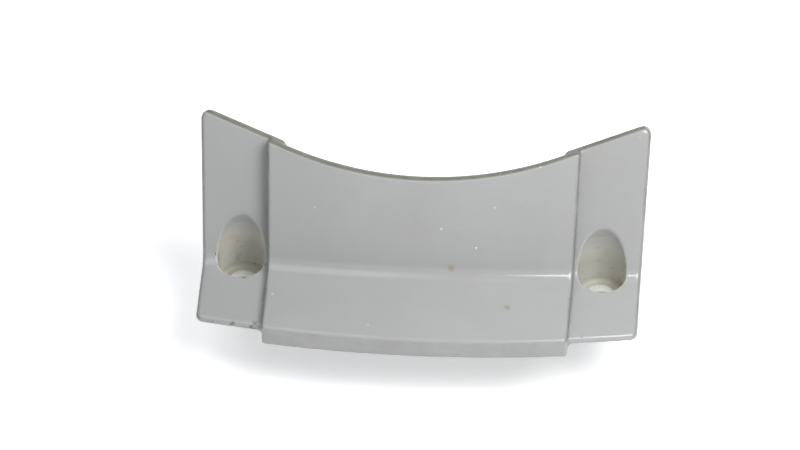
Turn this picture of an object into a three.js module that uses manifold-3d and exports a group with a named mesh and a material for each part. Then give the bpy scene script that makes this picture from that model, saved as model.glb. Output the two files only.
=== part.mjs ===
// Sash lift handle: a die-cast lift body that stands on the face of a window sash, and the two
// white-headed countersunk screws that hold it there. All sizes are in millimetres.
// Origin: on the mounting face, halfway between the two screws. X runs along the handle, +Z points
// out of the sash along the screws, and -Y is the side from which the fingers reach in.
import * as THREE from 'three';
import { mergeVertices, toCreasedNormals } from 'three/addons/utils/BufferGeometryUtils.js';
import Module from 'manifold-3d';

const wasm = await Module();
wasm.setup();

// ---------- driving dimensions ----------
// overall layout
const screwSpacing = 80;
const endMargin = 8.7;              // screw to the end of the handle, at Y = 0
const centreMargin = 6.2;           // screw to the side of the raised centre, at Y = 0
const flangeHeight = 10.5;          // mounting face to the top of the flange on the ears
const earFront = 20.2;              // front edge of the ear flange, where it meets the centre
const wallLean = THREE.MathUtils.degToRad(33);   // how far the wall leans back from the screw axis
const foldSetback = -0.7;           // Y of the line where wall and flange planes meet on the ears
const foldRadius = 4.2;             // inside fillet along that line
// sheet of the casting
const wallThickness = 3.6;
const flangeThickness = 2.6;
const earTipThickness = 1.4;        // the ear flange thins towards its front edge
const backCorner = 3;               // size of the rounded outer corner under the ears' fold
// plan outline
const earTaper = 0.049;             // the ends close in by this much per millimetre forward
const centreTaper = 0.033;
const frontBowRadius = 293;         // plan radius of the front edges
const cornerRadius = 1.6;           // rounded corners of the ears
// raised centre
const wallOverlap = 0.1;            // depth at which its sheet still laps the ear's sheet in the wall
const flangeOverlap = 0.5;          // and in the flange
const centreOverhang = 2.4;         // its front edge is this far ahead of the ears
const foldBow = 1.1;                // its fold line bows forward by this much
const lipHeight = 5.6;
const lipThickness = 2.6;
const lipInnerRadius = 1;
// concave upper edge, measured up the slope of the ear wall from the fold line
const edgeLowest = 21.2;
const edgeRadius = 84;
const edgeSlope = 0.39;             // rise of the straight ends of the edge
// number 6 raised countersunk screw, half an inch long
const headRadius = 3.3;
const headRise = 0.8;               // dome above the rim of the head
const headRim = 0.4;                // straight edge between dome and cone
const shankRadius = 1.25;
const threadDepth = 0.5;
const threadPitch = 1.6;
const screwLength = 12;             // rim of the head to the point
const pointLength = 3;
const slotWidth = 0.9;              // screwdriver slot across the head
const slotDepth = 1.1;              // from the top of the dome
const slotTurn = { left: THREE.MathUtils.degToRad(7), right: THREE.MathUtils.degToRad(-4) };
// screw pockets and bosses
const screwClearance = 0.3;         // between screw and casting, in the hole and in its seat
const headClearance = 2.1;          // round the head, for the screwdriver
const pocketDepth = 7;              // flange top to the pocket floor
const bossWall = 1.6;
// rib that carries the wall down to the mounting face, and the foot in its middle
const ribFront = 0.5;
const ribBack = 4;
const ribRelief = 0.6;              // the rib stays clear of the sash except at its foot
const footHalfLength = 15;
const footHalfDepth = 4;

// ---------- worked-out places ----------
const lean = { along: Math.sin(wallLean), up: Math.cos(wallLean), slope: Math.tan(wallLean) };
const earHalfWidth = screwSpacing / 2 + endMargin;
const centreHalfWidth = screwSpacing / 2 - centreMargin;
const centreFront = earFront + centreOverhang;
const wallRaise = wallThickness - wallOverlap;         // centre stands this far in front of the ears
const flangeRaise = flangeThickness - flangeOverlap;   // and this far above their flange
const pocketRadius = headRadius + headClearance;
const bossRadius = pocketRadius + bossWall;
const wallReach = 60;               // longer than the wall, whose end the edge cut decides
const beyond = 20;                  // how far cutting shapes run past the casting
const sag = (x, radius) => (x * x) / (2 * radius);

// Height at which an upright plane at this Y meets the middle of the wall's sheet.
function wallMiddle(y, raiseWall) {
  return (y - foldSetback + (raiseWall - wallThickness / 2) / lean.up) / lean.slope;
}

// ---------- solids ----------
const weldDistance = 1e-4;
const smallestDetail = 0.002;       // slivers that the cuts leave are merged below this size
const creaseAngle = THREE.MathUtils.degToRad(35);   // flatter edges than this are shaded smooth

function solidOf(geometry) {
  const bare = geometry.index ? geometry.toNonIndexed() : geometry.clone();
  bare.deleteAttribute('normal');
  bare.deleteAttribute('uv');
  const merged = mergeVertices(bare, weldDistance);
  const vertProperties = new Float32Array(merged.attributes.position.array);
  const triVerts = new Uint32Array(merged.index.array);
  return new wasm.Manifold(new wasm.Mesh({ numProp: 3, vertProperties, triVerts }));
}

function geometryOf(solid) {
  const mesh = solid.simplify(smallestDetail).getMesh();
  const geometry = new THREE.BufferGeometry();
  geometry.setAttribute('position', new THREE.BufferAttribute(mesh.vertProperties, 3));
  geometry.setIndex(new THREE.BufferAttribute(mesh.triVerts, 1));
  return toCreasedNormals(geometry, creaseAngle);
}

// A side profile drawn in (Y, Z) and run along X from x0 to x1.
function alongX(profile, x0, x1, steps = 1, curveSegments = 8) {
  const geometry = new THREE.ExtrudeGeometry(profile,
    { depth: x1 - x0, steps, curveSegments, bevelEnabled: false });
  const frame = new THREE.Matrix4().makeBasis(
    new THREE.Vector3(0, 1, 0), new THREE.Vector3(0, 0, 1), new THREE.Vector3(1, 0, 0));
  frame.setPosition(x0, 0, 0);
  return geometry.applyMatrix4(frame);
}

// A plan outline drawn in (X, Y) and run up Z from z0 to z1.
function alongZ(outline, z0, z1, curveSegments = 24) {
  const geometry = new THREE.ExtrudeGeometry(outline,
    { depth: z1 - z0, curveSegments, bevelEnabled: false });
  return geometry.translate(0, 0, z0);
}

// An outline drawn on the ear wall, in (X, distance up the slope), and run through its thickness.
function throughWall(outline, curveSegments = 24) {
  const geometry = new THREE.ExtrudeGeometry(outline,
    { depth: 2 * beyond, curveSegments, bevelEnabled: false });
  geometry.translate(0, 0, -beyond);
  const frame = new THREE.Matrix4().makeBasis(
    new THREE.Vector3(1, 0, 0),
    new THREE.Vector3(0, lean.along, lean.up),
    new THREE.Vector3(0, -lean.up, lean.along));
  frame.setPosition(0, foldSetback, 0);
  return geometry.applyMatrix4(frame);
}

// An upright cylinder or cone.
function roundBar(x, z0, z1, radiusBottom, radiusTop, segments = 40) {
  const geometry = new THREE.CylinderGeometry(radiusTop, radiusBottom, z1 - z0, segments);
  return geometry.rotateX(Math.PI / 2).translate(x, 0, (z0 + z1) / 2);
}

// Moves every point sideways and forwards: the ends taper in plan, and the front edge bows.
function shapePlan(geometry, taper, bowAt) {
  const place = geometry.attributes.position;
  for (let i = 0; i < place.count; i += 1) {
    const x = place.getX(i);
    const y = place.getY(i);
    place.setX(i, x + Math.sign(x) * taper * y * Math.min(1, Math.abs(x) / centreHalfWidth));
    place.setY(i, y + bowAt(x, y));
  }
  return geometry;
}

// ---------- side profiles, with Z = 0 at the top of the ear flange ----------
// The visible surface: down the wall, round the fillet and out along the flange.
// raiseWall and raiseFlange lift it off the plain ear surface.
function traceSurface(profile, raiseWall, raiseFlange, frontY) {
  const foldY = foldSetback + raiseFlange * lean.slope - raiseWall / lean.up;
  const tangent = foldRadius * Math.tan((Math.PI / 2 - wallLean) / 2);
  const centreY = foldY - tangent;
  const centreZ = raiseFlange + foldRadius;
  profile.lineTo(foldY + wallReach * lean.along, raiseFlange + wallReach * lean.up);
  profile.absarc(centreY, centreZ, foldRadius, -wallLean, -Math.PI / 2, true);
  profile.lineTo(frontY, raiseFlange);
}

function earProfile() {
  const wallBack = foldSetback + wallThickness / lean.up;
  const outerCorner = wallBack - flangeThickness * lean.slope;
  const profile = new THREE.Shape();
  profile.moveTo(-earFront - beyond, -earTipThickness);
  profile.lineTo(-earFront, -earTipThickness);
  profile.lineTo(outerCorner - backCorner, -flangeThickness);
  profile.quadraticCurveTo(outerCorner, -flangeThickness,
    outerCorner + backCorner * lean.along, -flangeThickness + backCorner * lean.up);
  profile.lineTo(wallBack + wallReach * lean.along, wallReach * lean.up);
  traceSurface(profile, 0, 0, -earFront - beyond);
  return profile;
}

function centreProfile() {
  const backOffset = wallThickness - wallRaise;
  const wallBack = foldSetback + backOffset / lean.up;
  const underside = flangeRaise - flangeThickness;
  const lipBottom = flangeRaise - lipHeight;
  const lipInner = -centreFront + lipThickness;
  const profile = new THREE.Shape();
  profile.moveTo(-centreFront, lipBottom);
  profile.lineTo(lipInner, lipBottom);
  profile.lineTo(lipInner, underside - lipInnerRadius);
  profile.quadraticCurveTo(lipInner, underside, lipInner + lipInnerRadius, underside);
  profile.lineTo(wallBack + underside * lean.slope, underside);
  profile.lineTo(wallBack + wallReach * lean.along, wallReach * lean.up);
  traceSurface(profile, wallRaise, flangeRaise, -centreFront);
  return profile;
}

// Everything under and behind the ear surface, used to keep the bosses below it.
function backingProfile() {
  const skin = 0.05;                // keeps the trimmed bosses off the surface that the sheet makes
  const profile = new THREE.Shape();
  profile.moveTo(-earFront, -flangeHeight);
  profile.lineTo(wallReach, -flangeHeight);
  profile.lineTo(wallReach, wallReach);
  traceSurface(profile, -skin, -skin, -earFront);
  return profile;
}

// ---------- outlines of the edges ----------
// Height of the upper edge up the slope of the wall: an arc that runs on straight at both ends.
const edgeTurn = edgeRadius * edgeSlope / Math.hypot(1, edgeSlope);
function edgeHeight(x) {
  const arcX = Math.min(Math.abs(x), edgeTurn);
  const arcHeight = edgeLowest + edgeRadius - Math.sqrt(edgeRadius ** 2 - arcX ** 2);
  return arcHeight + edgeSlope * (Math.abs(x) - arcX);
}

// Everything above the upper edge, with the rounded ear corners.
function aboveUpperEdge() {
  const endAt = (height) => earHalfWidth + earTaper * (foldSetback + height * lean.along);
  const cornerHeight = edgeHeight(earHalfWidth);
  const cornerX = endAt(cornerHeight);
  const outline = new THREE.Shape();
  const side = (sign) => {
    const before = cornerX - cornerRadius;
    const below = edgeHeight(cornerX) - cornerRadius;
    return [[sign * before, edgeHeight(before)], [sign * cornerX, edgeHeight(cornerX)],
      [sign * endAt(below), below], [sign * (cornerX + beyond), below]];
  };
  const [leftBefore, leftCorner, leftEnd, leftOut] = side(-1);
  const [rightBefore, rightCorner, rightEnd, rightOut] = side(1);
  const arcHalfAngle = Math.atan(edgeSlope);
  outline.moveTo(...leftOut);
  outline.lineTo(...leftEnd);
  outline.quadraticCurveTo(...leftCorner, ...leftBefore);
  outline.absarc(0, edgeLowest + edgeRadius, edgeRadius,
    -Math.PI / 2 - arcHalfAngle, -Math.PI / 2 + arcHalfAngle, false);
  outline.lineTo(...rightBefore);
  outline.quadraticCurveTo(...rightCorner, ...rightEnd);
  outline.lineTo(...rightOut);
  outline.lineTo(cornerX + beyond, 2 * wallReach);
  outline.lineTo(-cornerX - beyond, 2 * wallReach);
  return outline;
}

// Everything ahead of the ears' front edge, with their rounded front corners.
function aheadOfEars() {
  const frontAt = (x) => -earFront + sag(x, frontBowRadius) - sag(centreHalfWidth, frontBowRadius);
  const endAt = (y) => earHalfWidth + earTaper * y;
  const cornerX = endAt(frontAt(earHalfWidth));
  const cornerY = frontAt(cornerX);
  const bowSteps = 12;
  const outline = new THREE.Shape();
  outline.moveTo(-cornerX - beyond, cornerY + cornerRadius);
  outline.lineTo(-endAt(cornerY + cornerRadius), cornerY + cornerRadius);
  outline.quadraticCurveTo(-cornerX, cornerY, -cornerX + cornerRadius, frontAt(cornerX - cornerRadius));
  for (let step = 1; step <= bowSteps; step += 1) {
    const x = (cornerX - cornerRadius) * (2 * step / bowSteps - 1);
    outline.lineTo(x, frontAt(x));
  }
  outline.quadraticCurveTo(cornerX, cornerY, endAt(cornerY + cornerRadius), cornerY + cornerRadius);
  outline.lineTo(cornerX + beyond, cornerY + cornerRadius);
  outline.lineTo(cornerX + beyond, -earFront - 2 * beyond);
  outline.lineTo(-cornerX - beyond, -earFront - 2 * beyond);
  return outline;
}

// ---------- sub-parts ----------
// One ear: a bent sheet that runs from the outer end to just behind the raised centre.
function earSheet(sign) {
  const inner = centreHalfWidth - wallThickness;
  const [x0, x1] = sign > 0 ? [inner, earHalfWidth] : [-earHalfWidth, -inner];
  const sheet = alongX(earProfile(), x0, x1);
  return solidOf(shapePlan(sheet, earTaper, () => 0));
}

// The raised centre: a bent sheet with a lip, bowed forwards in plan.
function centreSheet() {
  const bowSteps = 16;
  const frontBow = sag(centreHalfWidth, frontBowRadius);
  const bowAt = (x, y) => {
    const forward = THREE.MathUtils.clamp(-y / centreFront, 0, 1);
    const depth = THREE.MathUtils.lerp(foldBow, frontBow, forward);
    return -depth * (1 - (x / centreHalfWidth) ** 2);
  };
  const sheet = alongX(centreProfile(), -centreHalfWidth, centreHalfWidth, bowSteps);
  return solidOf(shapePlan(sheet, centreTaper, bowAt));
}

// Cross section of an upright part under the sheet, whose top ends inside the wall and the flange.
function uprightProfile(front, back, bottom, raiseWall, raiseFlange) {
  const flangeMiddle = raiseFlange - flangeThickness / 2;
  const kneeY = front + THREE.MathUtils.clamp(
    (flangeMiddle - wallMiddle(front, raiseWall)) * lean.slope, 0, back - front);
  const profile = new THREE.Shape();
  profile.moveTo(front, bottom);
  profile.lineTo(back, bottom);
  profile.lineTo(back, Math.max(flangeMiddle, wallMiddle(back, raiseWall)));
  profile.lineTo(kneeY, Math.max(flangeMiddle, wallMiddle(kneeY, raiseWall)));
  if (kneeY > front) profile.lineTo(front, flangeMiddle);
  return profile;
}

// The rib under the fold runs from boss to boss. The sheet that it meets stands further forward along
// the centre than on the ears, and the rib's centre stretch laps into the steps between the two. Its
// foot reaches the mounting face between the two screws.
function supportRib() {
  const relieved = -flangeHeight + ribRelief;
  const lap = 1;
  const centreHalf = centreHalfWidth - wallThickness + lap;
  const earRib = uprightProfile(ribFront, ribBack, relieved, 0, 0);
  const centreRib = uprightProfile(ribFront, ribBack, relieved, wallRaise, flangeRaise);
  const foot = uprightProfile(-footHalfDepth, footHalfDepth, -flangeHeight, wallRaise, flangeRaise);
  return solidOf(alongX(earRib, -screwSpacing / 2, screwSpacing / 2))
    .add(solidOf(alongX(centreRib, -centreHalf, centreHalf)))
    .add(solidOf(alongX(foot, -footHalfLength, footHalfLength)));
}

// One boss under an ear, trimmed so that it stays behind the ear's surface.
function screwBoss(x, backing) {
  const boss = solidOf(roundBar(x, -flangeHeight, wallMiddle(bossRadius, 0), bossRadius, bossRadius));
  return boss.intersect(backing);
}

// The hollow for one screw: deep round pocket, conical seat and clearance hole.
function screwHollow(x) {
  const overlap = 0.01;
  const seatRadius = headRadius + screwClearance * Math.SQRT2;
  const holeRadius = shankRadius + threadDepth + screwClearance;
  const seatBottom = -pocketDepth - (seatRadius - holeRadius);
  const seatTop = -pocketDepth + overlap;
  const pocket = solidOf(roundBar(x, -pocketDepth, wallReach, pocketRadius, pocketRadius));
  const seat = solidOf(roundBar(x, seatBottom, seatTop, holeRadius, seatRadius + overlap));
  const hole = solidOf(roundBar(x, -beyond, seatBottom + overlap, holeRadius, holeRadius));
  return pocket.add(seat).add(hole);
}

function liftBody() {
  let body = earSheet(-1).add(earSheet(1));
  body = body.subtract(solidOf(alongZ(aheadOfEars(), -beyond, beyond)));
  body = body.add(centreSheet());
  body = body.subtract(solidOf(throughWall(aboveUpperEdge())));
  body = body.add(supportRib());
  const backing = solidOf(alongX(backingProfile(), -earHalfWidth, earHalfWidth));
  const screwPlaces = [-screwSpacing / 2, screwSpacing / 2];
  for (const x of screwPlaces) body = body.add(screwBoss(x, backing));
  for (const x of screwPlaces) body = body.subtract(screwHollow(x));
  return geometryOf(body);
}

// Shank of the screw: its thread is a ridge that climbs one pitch for each turn, and its end is a point.
function threadedShank(top, length) {
  const sides = 18;
  const stepsPerPitch = 5;
  const ridgeSteepness = 3;         // the ridge takes a third of the pitch on either side
  const bluntness = 0.08;           // share of the radius left at the tip
  const rows = Math.round(length / threadPitch * stepsPerPitch);
  const geometry = new THREE.CylinderGeometry(shankRadius, shankRadius, length, sides, rows);
  geometry.rotateX(Math.PI / 2).translate(0, 0, top - length / 2);
  const place = geometry.attributes.position;
  for (let i = 0; i < place.count; i += 1) {
    const [x, y, z] = [place.getX(i), place.getY(i), place.getZ(i)];
    const fromAxis = Math.hypot(x, y);
    if (fromAxis < shankRadius / 2) continue;
    const turns = z / threadPitch - Math.atan2(y, x) / (2 * Math.PI);
    const ridge = Math.max(0, 1 - ridgeSteepness * Math.abs(turns - Math.round(turns)));
    const toPoint = Math.min(1, (z - (top - length)) / pointLength + bluntness);
    const radius = (shankRadius + threadDepth * ridge) * toPoint;
    place.setXY(i, x / fromAxis * radius, y / fromAxis * radius);
  }
  return solidOf(geometry);
}

// Countersunk screw with its origin at the middle of the head's rim, pointing down. Its slot runs
// along X.
function mountingScrew() {
  const coneBottom = -headRim - (headRadius - shankRadius);
  const neckBottom = coneBottom - shankRadius;
  const domeRadius = (headRadius ** 2 + headRise ** 2) / (2 * headRise);
  const domeHalfAngle = Math.asin(headRadius / domeRadius);
  const profile = new THREE.Path();
  profile.moveTo(0, neckBottom);
  profile.lineTo(shankRadius, neckBottom);
  profile.lineTo(shankRadius, coneBottom);
  profile.lineTo(headRadius, -headRim);
  profile.lineTo(headRadius, 0);
  profile.absarc(0, headRise - domeRadius, domeRadius, Math.PI / 2 - domeHalfAngle, Math.PI / 2, false);
  const domeSteps = 5;
  const sides = 36;
  const head = new THREE.LatheGeometry(profile.getPoints(domeSteps), sides).rotateX(Math.PI / 2);
  const slot = new THREE.BoxGeometry(2 * headRadius + slotWidth, slotWidth, 2 * slotDepth)
    .translate(0, 0, headRise);
  const shank = threadedShank(coneBottom, screwLength + coneBottom);
  return geometryOf(solidOf(head).add(shank).subtract(solidOf(slot)));
}

// ---------- the handle ----------
const whiteLacquer = new THREE.MeshStandardMaterial({ color: 0xd9dad6, roughness: 0.22, metalness: 0 });
const whiteEnamel = new THREE.MeshStandardMaterial({ color: 0xe6e6e3, roughness: 0.25, metalness: 0 });

const handle = new THREE.Group();

const liftMesh = new THREE.Mesh(liftBody(), whiteLacquer);
liftMesh.name = 'lift_body';
liftMesh.position.z = flangeHeight;
handle.add(liftMesh);

const screwGeometry = mountingScrew();
for (const [side, sign] of [['left', -1], ['right', 1]]) {
  const screw = new THREE.Mesh(screwGeometry, whiteEnamel);
  screw.name = `mounting_screw_${side}`;
  screw.rotation.z = slotTurn[side];
  screw.position.set(sign * screwSpacing / 2, 0, flangeHeight - pocketDepth + headRim);
  handle.add(screw);
}

export default handle;
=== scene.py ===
import math

import bpy
import numpy as np
from mathutils import Matrix, Vector


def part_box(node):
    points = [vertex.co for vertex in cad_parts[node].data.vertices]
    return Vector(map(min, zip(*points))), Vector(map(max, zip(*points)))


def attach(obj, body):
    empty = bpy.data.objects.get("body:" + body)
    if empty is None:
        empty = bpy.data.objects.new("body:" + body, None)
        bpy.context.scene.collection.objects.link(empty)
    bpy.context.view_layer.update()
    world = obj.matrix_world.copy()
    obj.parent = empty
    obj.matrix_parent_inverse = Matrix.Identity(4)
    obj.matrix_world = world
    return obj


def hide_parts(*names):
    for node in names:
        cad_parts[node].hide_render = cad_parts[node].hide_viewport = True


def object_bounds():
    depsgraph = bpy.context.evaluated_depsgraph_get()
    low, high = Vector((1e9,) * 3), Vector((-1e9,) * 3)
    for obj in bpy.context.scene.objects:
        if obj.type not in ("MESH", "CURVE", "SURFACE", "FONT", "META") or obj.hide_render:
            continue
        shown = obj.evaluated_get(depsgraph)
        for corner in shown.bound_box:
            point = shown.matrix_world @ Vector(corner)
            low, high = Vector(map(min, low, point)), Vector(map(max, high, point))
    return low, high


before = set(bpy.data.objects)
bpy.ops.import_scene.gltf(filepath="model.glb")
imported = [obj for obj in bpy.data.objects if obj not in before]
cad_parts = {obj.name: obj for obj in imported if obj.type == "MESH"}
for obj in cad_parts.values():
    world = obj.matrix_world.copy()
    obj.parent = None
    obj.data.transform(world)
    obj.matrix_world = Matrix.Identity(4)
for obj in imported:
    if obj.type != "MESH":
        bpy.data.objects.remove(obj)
cad_low, cad_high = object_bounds()

# ---------------------------------------------------------------------------
# The lift casting: one die-cast shell with a raised finger section between two ears, a lip along
# its front, and a boss with a deep round pocket under each ear. It leaves the die with every edge
# rounded and every corner filleted, and is then sprayed gloss white all over.
# ---------------------------------------------------------------------------
mm = 0.001

wall_lean = math.radians(33)
fold_setback = -0.7
fold_radius = 4.2
wall_thickness = 3.6
flange_thickness = 2.6
ear_tip_thickness = 1.4
ear_thin_run = 19.4
flange_height = 10.5

ear_half_width = 48.7
ear_taper = 0.049
flange_taper = 0.03
centre_half_width = 33.8
centre_taper = 0.033
ear_front = 20.2
centre_front = 22.6
front_bow_radius = 293
fold_bow = 1.1

wall_raise = 3.5
flange_raise = 2.1
lip_height = 5.6
lip_thickness = 2.6
lip_corner = 1
lip_flare = 0.05

edge_lowest = 21.2
edge_radius = 84
edge_slope = 0.39

pocket_radius = 5.3
pocket_depth = 7
boss_radius = 7
seat_radius = 3.72
bore_radius = 2.05
rib_front, rib_back = 0.5, 4
rib_relief = 0.6
foot_half_length = 15
foot_half_depth = 4
pin_x, pin_rise = 19, 13
pin_radius = 2
pin_height = 0.25

edge_round = 0.6
corner_round = 1.6
top_corner_round = 2.6
outline_round = 1.0
back_edge_round = 0.4
foot_round = 0.3
nose_blend = 0.3
pin_round = 0.2
lip_nose_round = 1.3
lip_round = 1.0
back_round = 3
riser_fillet = 0.5
lip_fillet = 1
boss_fillet = 1.2
rim_round = 0.4
floor_round = 1
seat_lap = 0.2
side_lap = 1
far_inside = -9

left_screw_low, left_screw_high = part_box("mounting_screw_left")
screw_x = abs(left_screw_low.x + left_screw_high.x) / 2 / mm

lean_along, lean_up = math.sin(wall_lean), math.cos(wall_lean)
lean_slope = math.tan(wall_lean)


def rounded_cut(a, b, radius):
    """Keeps what is inside both shapes, with a rounded edge where they meet."""
    corner = np.hypot(np.maximum(a + radius, 0), np.maximum(b + radius, 0))
    return np.minimum(-radius, np.maximum(a, b)) + corner


def filleted_join(a, b, radius):
    """Keeps what is inside either shape, with a fillet where they meet."""
    corner = np.hypot(np.maximum(radius - a, 0), np.maximum(radius - b, 0))
    return np.maximum(radius, np.minimum(a, b)) - corner


def skin(y, z, raise_wall, raise_flange):
    """Distance in front of the visible surface, of its wall's plane and of its flange's plane."""
    fold_y = fold_setback + raise_flange * lean_slope - raise_wall / lean_up
    wall = (fold_y - y) * lean_up + (z - raise_flange) * lean_along
    flange = z - raise_flange
    run = fold_radius * math.tan((math.pi / 2 - wall_lean) / 2)
    from_y = y - (fold_y - run)
    from_z = z - (raise_flange + fold_radius)
    in_fillet = (from_y > 0) & (from_y * lean_along + from_z * lean_up < 0)
    fillet = fold_radius - np.hypot(from_y, from_z)
    return np.where(in_fillet, fillet, np.minimum(wall, flange)), wall, flange


def upper_edge(x, y, z):
    """Distance above the hollow upper edge, measured in the plane of the wall."""
    up_slope = (y - fold_setback) * lean_along + z * lean_up
    centre = edge_lowest + edge_radius
    turn = edge_radius * edge_slope / math.hypot(1, edge_slope)
    turn_height = centre - math.sqrt(edge_radius**2 - turn**2)
    straight = (up_slope - turn_height - edge_slope * (np.abs(x) - turn)) / math.hypot(1, edge_slope)
    arc = edge_radius - np.hypot(x, up_slope - centre)
    on_arc = np.abs(x) < edge_slope * (centre - up_slope)
    return np.where(on_arc, arc, straight)


def casting(x, y, z):
    """Distance outside the casting, in millimetres, with Z = 0 at the top of the ear flange."""
    ear_skin, ear_wall, ear_flange = skin(y, z, 0, 0)
    bow_start = centre_half_width**2 / (2 * front_bow_radius)
    forward = np.clip(-y / centre_front, 0, 1)
    bow = (fold_bow + (bow_start - fold_bow) * forward) * (1 - (x / centre_half_width) ** 2)
    bowed = y + bow
    centre_skin, centre_wall, centre_flange = skin(bowed, z, wall_raise, flange_raise)

    taper = np.where(y > 0, ear_taper, flange_taper)
    end = np.abs(x) - (ear_half_width + taper * y)
    side = np.abs(x) - (centre_half_width + centre_taper * y - lip_flare * np.minimum(z, 0))
    bow_centre = front_bow_radius - ear_front - bow_start
    ahead = np.hypot(x, y - bow_centre) - front_bow_radius
    ear_outline = np.where(y < 0, rounded_cut(ahead, end, corner_round), far_inside)
    ear_block = rounded_cut(ear_skin, ear_outline, outline_round)
    centre_block = rounded_cut(centre_skin, -centre_front - bowed, lip_round)
    lip_end = rounded_cut(side, flange_raise - lip_height - z, lip_corner)
    centre_block = rounded_cut(centre_block, lip_end, edge_round)
    visible = filleted_join(ear_block, centre_block, riser_fillet)

    thickness = np.clip((y + ear_front) / ear_thin_run, 0, 1)
    thickness = ear_tip_thickness + (flange_thickness - ear_tip_thickness) * thickness
    ear_sheet = rounded_cut(-ear_wall - wall_thickness, -ear_flange - thickness, back_round)
    inner = centre_half_width - wall_thickness + centre_taper * y
    ear_sheet = rounded_cut(ear_sheet, inner - np.abs(x), edge_round)
    centre_sheet = rounded_cut(
        -centre_wall - wall_thickness, -centre_flange - flange_thickness, back_round)
    centre_sheet = filleted_join(centre_sheet, bowed + centre_front - lip_thickness, lip_fillet)
    centre_sheet = rounded_cut(centre_sheet, flange_raise - lip_height - z, edge_round)
    centre_sheet = rounded_cut(centre_sheet, side - side_lap, edge_round)
    sheet = filleted_join(ear_sheet, centre_sheet, riser_fillet)

    rib_middle, rib_half = (rib_front + rib_back) / 2, (rib_back - rib_front) / 2
    rib = np.maximum(np.abs(y - rib_middle) - rib_half, np.abs(x) - screw_x)
    foot = np.maximum(np.abs(y) - foot_half_depth, np.abs(x) - foot_half_length)
    rib = np.minimum(np.maximum(rib, rib_relief - flange_height - z), foot)
    from_screw = np.hypot(np.abs(x) - screw_x, y)
    body = filleted_join(sheet, rib, boss_fillet)
    body = filleted_join(body, from_screw - boss_radius, boss_fillet)
    body = rounded_cut(body, -flange_height - z, foot_round)

    up_slope = (y - fold_setback) * lean_along + z * lean_up
    from_pin = np.hypot(np.abs(x) - pin_x, up_slope - pin_rise) - pin_radius
    pin_mark = rounded_cut(from_pin, -centre_wall - wall_thickness - pin_height, pin_round)
    body = filleted_join(body, np.maximum(pin_mark, centre_wall), pin_round)

    body = rounded_cut(body, visible, back_edge_round)
    edge = rounded_cut(upper_edge(x, y, z), end, top_corner_round)
    body = rounded_cut(body, np.where(y < 0, far_inside, edge), outline_round)
    nose = rounded_cut(-centre_front - bowed, flange_raise - lip_height - z, lip_nose_round)
    body = np.where(y < -ear_front / 2, rounded_cut(body, nose, nose_blend), body)

    floor = -pocket_depth
    pocket = rounded_cut(from_screw - pocket_radius, floor - z, floor_round)
    seat = (from_screw - seat_radius - (z - floor)) / math.sqrt(2)
    seat = np.maximum(seat, z - floor - seat_lap)
    hollow = np.minimum(np.minimum(pocket, seat), from_screw - bore_radius)
    return rounded_cut(body, -hollow, rim_round)


def surface_of(distance, low, high, step):
    """Skins the zero level of a distance function with quads, one vertex for each cell it crosses."""
    axes = [np.arange(a, b + step, step) for a, b in zip(low, high)]
    field = distance(*np.meshgrid(*axes, indexing="ij", sparse=True))
    cells = tuple(n - 1 for n in field.shape)
    total = np.zeros(cells + (3,))
    count = np.zeros(cells)
    quads = []
    for axis in range(3):
        near = tuple(slice(0, -1) if i == axis else slice(None) for i in range(3))
        far = tuple(slice(1, None) if i == axis else slice(None) for i in range(3))
        crossed = (field[near] < 0) != (field[far] < 0)
        at = np.argwhere(crossed)
        start, stop = field[near][crossed], field[far][crossed]
        point = at.astype(float)
        point[:, axis] += start / (start - stop)
        ring = []
        for along_b, along_c in ((-1, -1), (0, -1), (0, 0), (-1, 0)):
            cell = at.copy()
            cell[:, (axis + 1) % 3] += along_b
            cell[:, (axis + 2) % 3] += along_c
            np.add.at(total, tuple(cell.T), point)
            np.add.at(count, tuple(cell.T), 1)
            ring.append(np.ravel_multi_index(tuple(cell.T), cells))
        ring = np.stack(ring, axis=1)
        outwards = start < 0
        quads += [ring[outwards], ring[~outwards][:, ::-1]]
    used = np.flatnonzero(count)
    number = np.zeros(count.size, int)
    number[used] = np.arange(used.size)
    points = total.reshape(-1, 3)[used] / count.reshape(-1)[used, None]
    points = points * step + np.array([a[0] for a in axes])
    return points, number[np.concatenate(quads)]


def slope_of(distance, points, reach=0.03):
    """Gradient of the distance, which is the surface normal there."""
    parts = []
    for axis in range(3):
        shift = np.zeros(3)
        shift[axis] = reach
        parts.append(distance(*(points + shift).T) - distance(*(points - shift).T))
    return np.stack(parts, axis=1) / (2 * reach)


cell_size = 0.47
body_low, body_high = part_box("lift_body")
spare = 1.5
pad = Vector((spare, spare, spare))
grid_low = body_low / mm - pad - Vector((0, 0, flange_height))
grid_high = body_high / mm + pad - Vector((0, 0, flange_height))
points, quads = surface_of(casting, grid_low, grid_high, cell_size)
settling_rounds = 4
least_steepness = 0.1
for _ in range(settling_rounds):
    slope = slope_of(casting, points)
    steepness = np.maximum((slope**2).sum(axis=1), least_steepness)
    points -= slope * (casting(*points.T) / steepness)[:, None]
slope = slope_of(casting, points)
normals = slope / np.linalg.norm(slope, axis=1, keepdims=True)

lift_mesh = bpy.data.meshes.new("lift_casting")
places = (points + (0, 0, flange_height)) * mm
lift_mesh.from_pydata(places.tolist(), [], quads.tolist())
lift_mesh.polygons.foreach_set("use_smooth", np.ones(len(quads), bool))
lift_mesh.normals_split_custom_set_from_vertices(normals.tolist())
lift = bpy.data.objects.new("lift_casting", lift_mesh)
bpy.context.collection.objects.link(lift)
print("lift_casting", len(points), "points", len(quads), "quads")

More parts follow.
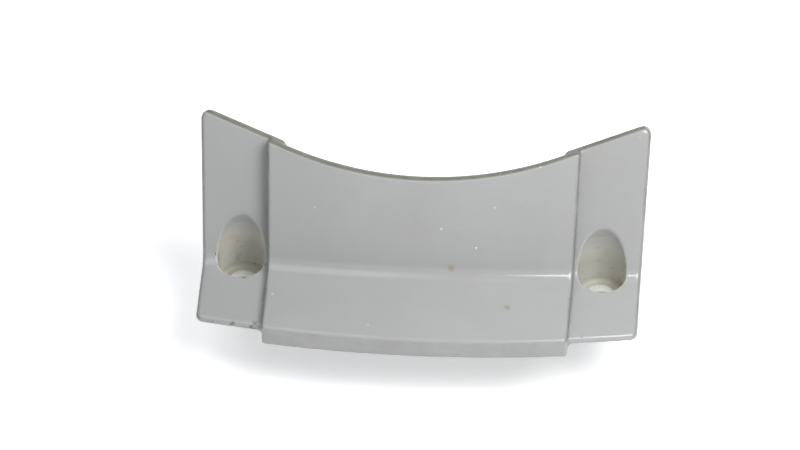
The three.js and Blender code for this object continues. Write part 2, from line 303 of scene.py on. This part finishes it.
# The finish reads six numbers from the mesh: how sharply an edge turns out, how sharply a corner
# turns in, how deep in a pocket a point lies, whether it is on the back, how near the upper edge it
# is, and how far it faces sideways or down, which sets painted shade on those faces.
probe = 0.9
convex = np.clip(1 + casting(*(points - normals * probe).T) / probe, 0, 1)
hollow = np.clip(1 - casting(*(points + normals * probe).T) / probe, 0, 1)
x, y, z = points.T
from_screw = np.hypot(np.abs(x) - screw_x, y)
in_pocket = (from_screw < pocket_radius + 2 * rim_round) & (z > -pocket_depth - 1)
within_rim = np.clip((pocket_radius + rim_round - from_screw) / rim_round, 0, 1)
# How deep in a pocket a point lies. It sets the painted fill light and floor shade in the pockets as well
# as their stains and marks.
light_and_stain_top = 9
depth = np.clip((light_and_stain_top - z) / (light_and_stain_top + pocket_depth), 0, 1)
depth = np.where(in_pocket, within_rim * depth, 0)
front_normal = normals @ (0, -lean_up, lean_along)
hidden = (normals[:, 2] < -0.05) | ((front_normal < -0.3) & (normals[:, 2] < 0.75))
hidden = hidden & ~in_pocket & (upper_edge(x, y, z) < -0.8)
top_edge = np.clip(1 + upper_edge(x, y, z) / probe, 0, 1)
facing_front = 0.44 * np.clip((-normals[:, 1] - 0.86) / 0.1, 0, 1)
facing_down = -1.2 * normals[:, 2]
facing_side = np.abs(normals[:, 0])
side = np.maximum(np.maximum(facing_side, facing_down), facing_front)
side = np.clip((side - 0.25) / 0.4, 0, 1) * ~in_pocket
for name, values in (
        ("convex", convex), ("hollow", hollow), ("pocket", depth),
        ("hidden", hidden), ("top_edge", top_edge), ("side", side)):
    layer = lift_mesh.attributes.new(name, "FLOAT", "POINT")
    layer.data.foreach_set("value", values.astype(np.float32))


def linear(colour):
    """Turns an sRGB hex colour into the linear one that shaders take."""
    parts = [int(colour[i:i + 2], 16) / 255 for i in (1, 3, 5)]
    return [c / 12.92 if c <= 0.04045 else ((c + 0.055) / 1.055) ** 2.4 for c in parts] + [1]


def add_node(tree, kind, settings=None, **links):
    """Adds a node, sets its properties, and feeds its sockets from values or other nodes' outputs."""
    node = tree.nodes.new(kind)
    for name, value in (settings or {}).items():
        setattr(node, name, value)
    for name, value in links.items():
        index = int(name[3:]) if name.startswith("in_") else name.replace("_", " ")
        if isinstance(value, bpy.types.NodeSocket):
            tree.links.new(value, node.inputs[index])
        else:
            node.inputs[index].default_value = value
    return node


def new_material(name):
    material = bpy.data.materials.new(name)
    material.use_nodes = True
    tree = material.node_tree
    return material, tree, tree.nodes["Principled BSDF"]


def noise(tree, coordinates, size, detail=2, roughness=0.5, seed=0):
    """Noise whose largest patches are about this many metres across, from 0 to 1."""
    moved = add_node(tree, "ShaderNodeMapping", in_0=coordinates, in_1=(seed, seed, seed))
    return add_node(
        tree, "ShaderNodeTexNoise", in_0=moved.outputs[0],
        Scale=1 / size, Detail=detail, Roughness=roughness).outputs["Fac"]


def ramp(tree, value, start, end, low=0, high=1):
    """Runs from low to high as the value goes from start to end, and stays flat beyond."""
    node = add_node(
        tree, "ShaderNodeMapRange", {"interpolation_type": "SMOOTHSTEP"},
        in_0=value, in_1=start, in_2=end, in_3=low, in_4=high)
    return node.outputs[0]


def times(tree, a, b):
    return add_node(tree, "ShaderNodeMath", {"operation": "MULTIPLY"}, in_0=a, in_1=b).outputs[0]


def tint(tree, amount, under, over):
    """Lays one colour over another by this amount."""
    node = add_node(
        tree, "ShaderNodeMix", {"data_type": "RGBA"}, in_0=amount, in_6=under, in_7=over)
    return node.outputs[2]


# Gloss white lacquer sprayed on a zinc casting: a faint orange peel and a few dust nibs in the
# gloss tinted white as painted glints, painted light filling the pockets and painted shade on their
# floors, brown stains and dark marks in the pockets, painted shade in the creases, on the upper edge,
# on the ends and on faces turned down, chips along the edges, and a thin coat that leaves the back grey.
lacquer, tree, shader = new_material("gloss_white_lacquer_on_zinc")
place = add_node(tree, "ShaderNodeTexCoord").outputs["Object"]
layer = {name: add_node(tree, "ShaderNodeAttribute", {"attribute_name": name}).outputs["Fac"]
         for name in ("convex", "hollow", "pocket", "hidden", "top_edge", "side")}

cloud = ramp(tree, noise(tree, place, 0.035, 3), 0.3, 0.7)
colour = tint(tree, cloud, linear("#9c9d9c"), linear("#a2a3a3"))
film = ramp(tree, noise(tree, place, 0.009, 4, 0.6, 3), 0.45, 0.75, 0, 0.35)
colour = tint(tree, film, colour, linear("#9a9a95"))
# Painted shade: concave corners and creases are darkened.
crease_shade = ramp(tree, layer["hollow"], 0.15, 0.75, 0, 0.25)
colour = tint(tree, crease_shade, colour, linear("#7b7a72"))

# Painted light: the pocket walls are lightened, a little unevenly, for the bounce light that fills them.
blotch = ramp(tree, noise(tree, place, 0.004, 4, 0.6, 7), 0.3, 0.7, 0.8, 1)
pocket_fill_light = times(tree, ramp(tree, layer["pocket"], 0, 0.45), blotch)
colour = tint(tree, pocket_fill_light, colour, linear("#c6c5bb"))
# Painted shade: the floor at the bottom of each pocket is darkened.
pocket_floor_shade = ramp(tree, layer["pocket"], 0.88, 1, 0, 0.55)
colour = tint(tree, pocket_floor_shade, colour, linear("#86856f"))
stain = times(
    tree, ramp(tree, noise(tree, place, 0.0035, 3, 0.5, 12), 0.56, 0.7),
    ramp(tree, layer["pocket"], 0.2, 0.6, 0, 0.4))
colour = tint(tree, stain, colour, linear("#978670"))
mark = times(
    tree, ramp(tree, noise(tree, place, 0.0011, 2, 0.5, 21), 0.68, 0.74),
    ramp(tree, layer["pocket"], 0.2, 0.5, 0, 0.8))
colour = tint(tree, mark, colour, linear("#5a564c"))

# Painted shade: the upper edge, which faces up and back away from the lamps, is darkened a little unevenly.
top_edge_shade = times(
    tree, ramp(tree, layer["top_edge"], 0.25, 0.65),
    ramp(tree, noise(tree, place, 0.003, 4, 0.6, 5), 0.25, 0.7, 0.7, 0.95))
colour = tint(tree, top_edge_shade, colour, linear("#6a6a5c"))
# Painted shade: faces turned sideways, down or straight ahead, such as the ends, the undersides and the
# lip, are darkened a little unevenly.
side_shade = times(
    tree, layer["side"], ramp(tree, noise(tree, place, 0.004, 4, 0.6, 6), 0.3, 0.7, 0.4, 0.7))
colour = tint(tree, side_shade, colour, linear("#686862"))

# Two drops of old varnish on the raised centre.
spot_places = ((0.0073, -0.0034, 0.0145), (0.0200, -0.0131, 0.0126))
for number, spot_place in enumerate(spot_places):
    ragged = add_node(
        tree, "ShaderNodeMix", {"data_type": "VECTOR"}, in_0=0.0006, in_4=place,
        in_5=add_node(tree, "ShaderNodeTexNoise", in_0=place, Scale=1400).outputs["Color"])
    far = add_node(
        tree, "ShaderNodeVectorMath", {"operation": "DISTANCE"},
        in_0=ragged.outputs[1], in_1=Vector(spot_place)).outputs["Value"]
    colour = tint(tree, ramp(tree, far, 0.0010, 0.0004, 0, 0.7), colour, linear("#8f8a6c"))

chip = times(
    tree, ramp(tree, noise(tree, place, 0.0022, 3, 0.6, 31), 0.6, 0.63),
    ramp(tree, layer["convex"], 0.3, 0.4))
bare = times(
    tree, layer["hidden"], ramp(tree, noise(tree, place, 0.012, 4, 0.6, 40), 0.3, 0.75, 0.35, 0.85))
colour = tint(tree, bare, colour, linear("#8c8e90"))
colour = tint(tree, chip, colour, linear("#706e68"))
# Dust nibs in the gloss: each is a small bump, and its top is tinted near white as a painted glint.
nib_cells = add_node(tree, "ShaderNodeTexVoronoi", in_0=place, Scale=260)
nib_glint = times(
    tree, ramp(tree, nib_cells.outputs["Distance"], 0.1, 0.03),
    ramp(tree, noise(tree, place, 0.007, 1, 0.5, 18), 0.52, 0.56))
colour = tint(tree, times(tree, nib_glint, 0.38), colour, linear("#eceff0"))
tree.links.new(colour, shader.inputs["Base Color"])

gloss = ramp(tree, noise(tree, place, 0.006, 3, 0.6, 9), 0.3, 0.8, 0.08, 0.17)
gloss = add_node(
    tree, "ShaderNodeMath", {"operation": "MAXIMUM"}, in_0=gloss,
    in_1=ramp(tree, layer["top_edge"], 0.2, 0.9, 0, 0.5)).outputs[0]
gloss = add_node(
    tree, "ShaderNodeMath", {"operation": "MAXIMUM"}, in_0=gloss,
    in_1=times(tree, layer["hidden"], 0.5)).outputs[0]
gloss = add_node(
    tree, "ShaderNodeMath", {"operation": "MAXIMUM"}, in_0=gloss,
    in_1=ramp(tree, layer["pocket"], 0, 0.3, 0, 0.5)).outputs[0]
tree.links.new(gloss, shader.inputs["Roughness"])
shader.inputs["IOR"].default_value = 1.5

peel = noise(tree, place, 0.0016, 1, 0.4, 15)
peel_bump = add_node(tree, "ShaderNodeBump", Strength=0.12, Distance=0.00006, Height=peel)
nib_bump = add_node(
    tree, "ShaderNodeBump", Strength=0.7, Distance=0.00012, Height=nib_glint, Normal=peel_bump.outputs[0])
chip_bump = add_node(
    tree, "ShaderNodeBump", {"invert": True}, Strength=0.8, Distance=0.00015, Height=chip,
    Normal=nib_bump.outputs[0])
tree.links.new(chip_bump.outputs[0], shader.inputs["Normal"])
lift_mesh.materials.append(lacquer)

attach(lift, "root")
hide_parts("lift_body")

# ---------------------------------------------------------------------------
# The two mounting screws: number 6 raised countersunk steel screws, half an inch long, zinc plated
# with white heads, driven down the pockets until they seat in the cones at the bottom.
# ---------------------------------------------------------------------------
head_radius = 3.3
head_rise = 0.8
head_rim = 0.4
shank_radius = 1.25
thread_depth = 0.5
thread_pitch = 1.6
screw_length = 12
point_length = 3
slot_width = 0.9
slot_depth = 1.1
slot_turn = math.radians(7)
tip_share = 0.08
ridge_steepness = 3
screw_top = flange_height - pocket_depth + head_rim

enamel, tree, shader = new_material("white_enamel_on_zinc_plated_steel")
place = add_node(tree, "ShaderNodeTexCoord").outputs["Object"]
# White enamel on the head, thin round the slot, and bright zinc with fine tool rings below it.
apart = add_node(tree, "ShaderNodeSeparateXYZ", in_0=place)
bare = ramp(tree, apart.outputs[2], (screw_top + 0.1) * mm, (screw_top - 0.2) * mm)
cloud = ramp(tree, noise(tree, place, 0.002, 3, 0.5, 2), 0.3, 0.7)
zinc = tint(tree, cloud, linear("#c9cac8"), linear("#dcdcd8"))
white = tint(tree, cloud, linear("#c4c5c5"), linear("#cfd0d0"))
tree.links.new(tint(tree, bare, white, zinc), shader.inputs["Base Color"])
tree.links.new(bare, shader.inputs["Metallic"])
uneven = ramp(tree, noise(tree, place, 0.0012, 3, 0.5, 4), 0.3, 0.7, 0.2, 0.38)
tree.links.new(uneven, shader.inputs["Roughness"])
across = add_node(tree, "ShaderNodeMath", {"operation": "ABSOLUTE"}, in_0=apart.outputs[0]).outputs[0]
from_axis = add_node(tree, "ShaderNodeMath", {"operation": "SUBTRACT"}, in_0=across, in_1=screw_x * mm)
radial = add_node(tree, "ShaderNodeCombineXYZ", in_0=from_axis.outputs[0], in_1=apart.outputs[1])
rings = add_node(
    tree, "ShaderNodeTexWave", {"wave_type": "RINGS", "rings_direction": "SPHERICAL"},
    in_0=radial.outputs[0], Scale=900, Distortion=0.4)
ring_bump = add_node(
    tree, "ShaderNodeBump", Strength=0.25, Distance=0.00002, Height=rings.outputs["Fac"])
tree.links.new(ring_bump.outputs[0], shader.inputs["Normal"])


def screw_tree():
    """A cylinder shaped into head, cone, threaded shank and point, slotted and set at each hole."""
    tree = bpy.data.node_groups.new("mounting_screws", "GeometryNodeTree")
    tree.interface.new_socket("Spacing", in_out="INPUT", socket_type="NodeSocketFloat")
    tree.interface.new_socket("Height", in_out="INPUT", socket_type="NodeSocketFloat")
    tree.interface.new_socket("Slot Turn", in_out="INPUT", socket_type="NodeSocketFloat")
    tree.interface.new_socket("Material", in_out="INPUT", socket_type="NodeSocketMaterial")
    tree.interface.new_socket("Geometry", in_out="OUTPUT", socket_type="NodeSocketGeometry")
    given = tree.nodes.new("NodeGroupInput").outputs

    def maths(operation, a, b=0.0):
        return add_node(tree, "ShaderNodeMath", {"operation": operation}, in_0=a, in_1=b).outputs[0]

    blank = add_node(
        tree, "GeometryNodeMeshCylinder", {"fill_type": "TRIANGLE_FAN"},
        Vertices=64, Side_Segments=150, Fill_Segments=14, Radius=1, Depth=1)
    place = add_node(
        tree, "ShaderNodeSeparateXYZ", in_0=add_node(tree, "GeometryNodeInputPosition").outputs[0])
    x, y, z = place.outputs
    below = maths("MULTIPLY", maths("SUBTRACT", 0.5, z), screw_length)
    share = maths("SQRT", maths("ADD", maths("MULTIPLY", x, x), maths("MULTIPLY", y, y)))

    cone_end = head_rim + head_radius - shank_radius
    flare = maths("SUBTRACT", cone_end + shank_radius, below)
    taper = maths("MINIMUM", 1, maths("ADD", tip_share, maths(
        "DIVIDE", maths("SUBTRACT", screw_length, below), point_length)))
    turns = maths("ADD", maths("DIVIDE", below, thread_pitch), maths(
        "DIVIDE", maths("ARCTAN2", y, x), 2 * math.pi))
    off_ridge = maths("ABSOLUTE", maths("SUBTRACT", turns, maths("ROUND", turns)))
    ridge = maths("MAXIMUM", 0, maths("SUBTRACT", 1, maths("MULTIPLY", ridge_steepness, off_ridge)))
    ridge = maths("MULTIPLY", ridge, maths("GREATER_THAN", below, cone_end))
    shank = maths("ADD", shank_radius, maths("MULTIPLY", ridge, thread_depth))
    radius = maths("MAXIMUM", maths("MULTIPLY", shank, taper), maths("MINIMUM", head_radius, flare))
    dome = maths("MULTIPLY", head_rise, maths("SUBTRACT", 1, maths("MULTIPLY", share, share)))
    dome = maths("MULTIPLY", dome, maths("LESS_THAN", below, 1e-4))
    shaped = add_node(
        tree, "ShaderNodeCombineXYZ",
        in_0=maths("MULTIPLY", maths("MULTIPLY", x, radius), mm),
        in_1=maths("MULTIPLY", maths("MULTIPLY", y, radius), mm),
        in_2=maths("MULTIPLY", maths("SUBTRACT", dome, below), mm))
    screw = add_node(
        tree, "GeometryNodeSetPosition", Geometry=blank.outputs["Mesh"], Position=shaped.outputs[0])
    blade = add_node(
        tree, "GeometryNodeMeshCube",
        Size=(3 * head_radius * mm, slot_width * mm, 2 * slot_depth * mm))
    blade = add_node(
        tree, "GeometryNodeTransform", Geometry=blade.outputs["Mesh"],
        Translation=(0, 0, head_rise * mm))
    slotted = add_node(
        tree, "GeometryNodeMeshBoolean", {"operation": "DIFFERENCE", "solver": "EXACT"},
        in_0=screw.outputs[0], in_1=blade.outputs[0])
    smooth = add_node(tree, "GeometryNodeSetShadeSmooth", Geometry=slotted.outputs["Mesh"])

    start = add_node(
        tree, "ShaderNodeCombineXYZ", in_0=maths("MULTIPLY", given["Spacing"], -0.5),
        in_2=given["Height"])
    stride = add_node(tree, "ShaderNodeCombineXYZ", in_0=given["Spacing"])
    holes = add_node(
        tree, "GeometryNodeMeshLine", Count=2,
        Start_Location=start.outputs[0], Offset=stride.outputs[0])
    turn = add_node(
        tree, "FunctionNodeRandomValue", {"data_type": "FLOAT"},
        in_2=maths("MULTIPLY", given["Slot Turn"], -1), in_3=given["Slot Turn"], Seed=3)
    turned = add_node(tree, "ShaderNodeCombineXYZ", in_2=turn.outputs[1])
    placed = add_node(
        tree, "GeometryNodeInstanceOnPoints", Points=holes.outputs["Mesh"],
        Instance=smooth.outputs["Geometry"], Rotation=turned.outputs[0])
    real = add_node(tree, "GeometryNodeRealizeInstances", Geometry=placed.outputs["Instances"])
    painted = add_node(
        tree, "GeometryNodeSetMaterial", Geometry=real.outputs["Geometry"],
        Material=given["Material"])
    out = tree.nodes.new("NodeGroupOutput")
    tree.links.new(painted.outputs["Geometry"], out.inputs["Geometry"])
    return tree


maker = bpy.data.objects.new("screw_maker", bpy.data.meshes.new("screw_maker"))
bpy.context.collection.objects.link(maker)
nodes = maker.modifiers.new("screws", "NODES")
nodes.node_group = screw_tree()
values = {"Spacing": 2 * screw_x * mm, "Height": screw_top * mm, "Slot Turn": slot_turn, "Material": enamel}
for socket in nodes.node_group.interface.items_tree:
    if socket.in_out == "INPUT":
        nodes[socket.identifier] = values[socket.name]
evaluated = maker.evaluated_get(bpy.context.evaluated_depsgraph_get())
screw_mesh = bpy.data.meshes.new_from_object(evaluated)
screw_mesh.name = "mounting_screws"
bpy.data.objects.remove(maker)
screw_mesh.materials.clear()
screw_mesh.materials.append(enamel)
screw_mesh.polygons.foreach_set("material_index", np.zeros(len(screw_mesh.polygons), np.int32))
screw_mesh.set_sharp_from_angle(angle=math.radians(35))
screws = bpy.data.objects.new("mounting_screws", screw_mesh)
bpy.context.collection.objects.link(screws)
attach(screws, "root")
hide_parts("mounting_screw_left", "mounting_screw_right")


# ---------------------------------------------------------------------------
# The stage: a plain pale floor, soft lamps over and in front of the handle, and the camera.
# ---------------------------------------------------------------------------
def square(name, height, half):
    mesh = bpy.data.meshes.new(name)
    corners = [(-half, -half, height), (half, -half, height), (half, half, height), (-half, half, height)]
    mesh.from_pydata(corners, [], [(0, 1, 2, 3)])
    obj = bpy.data.objects.new(name, mesh)
    bpy.context.collection.objects.link(obj)
    return obj


floor = square("floor", cad_low.z, 3)
# Plain matt paper, white with hardly a cloud in it.
paper, tree, shader = new_material("matt_white_paper")
place = add_node(tree, "ShaderNodeTexCoord").outputs["Object"]
fibre = ramp(tree, noise(tree, place, 0.02, 4), 0.3, 0.7)
tree.links.new(tint(tree, fibre, linear("#f6f6f6"), linear("#f8f8f8")), shader.inputs["Base Color"])
shader.inputs["Roughness"].default_value = 0.95
shader.inputs["Specular IOR Level"].default_value = 0.1
shader.inputs["Emission Color"].default_value = linear("#ffffff")
shader.inputs["Emission Strength"].default_value = 0.42
floor.data.materials.append(paper)


def lamp(name, place, across, down, power, colour):
    """A soft rectangular lamp that faces the handle."""
    light = bpy.data.lights.new(name, "AREA")
    light.shape = "RECTANGLE"
    light.size = across
    light.size_y = down
    light.energy = power
    light.color = linear(colour)[:3]
    obj = bpy.data.objects.new(name, light)
    obj.location = place
    obj.rotation_euler = (-Vector(place)).to_track_quat("-Z", "Y").to_euler()
    bpy.context.collection.objects.link(obj)


lamp("near_softbox", (0.14, -0.10, 0.28), 0.18, 0.18, 1.04, "#fffefd")
lamp("left_softbox", (-0.28, -0.02, 0.62), 0.5, 0.5, 1.15, "#ffffff")
lamp("overhead_tube", (-0.07, 0.03, 1.1), 0.36, 0.03, 0.06, "#ffffff")
lamp("front_tube", (-0.05, -0.75, 0.8), 0.36, 0.06, 0.12, "#ffffff")
world = bpy.data.worlds.new("studio")
bpy.context.scene.world = world
world.use_nodes = True
world.node_tree.nodes["Background"].inputs["Color"].default_value = linear("#f4f8ff")
world.node_tree.nodes["Background"].inputs["Strength"].default_value = 0.32

azimuth, elevation, roll = math.radians(5.25), math.radians(44.24), math.radians(1.35)
camera_distance = 0.650
shift_right, shift_up = -0.00440, 0.00948
right = Vector((math.cos(azimuth), math.sin(azimuth), 0))
back = Vector((
    math.sin(azimuth) * math.cos(elevation),
    -math.cos(azimuth) * math.cos(elevation),
    math.sin(elevation)))
up = back.cross(right)
aim = Vector((0, -0.0001, flange_height * mm)) + right * shift_right + up * shift_up
camera_data = bpy.data.cameras.new("camera")
camera_data.sensor_width = 36
camera_data.lens = 132
camera = bpy.data.objects.new("camera", camera_data)
turn = Matrix((right, up, back)).transposed() @ Matrix.Rotation(-roll, 3, "Z")
camera.matrix_world = Matrix.Translation(aim + back * camera_distance) @ turn.to_4x4()
bpy.context.collection.objects.link(camera)
bpy.context.scene.camera = camera
bpy.context.scene.view_settings.view_transform = "Standard"
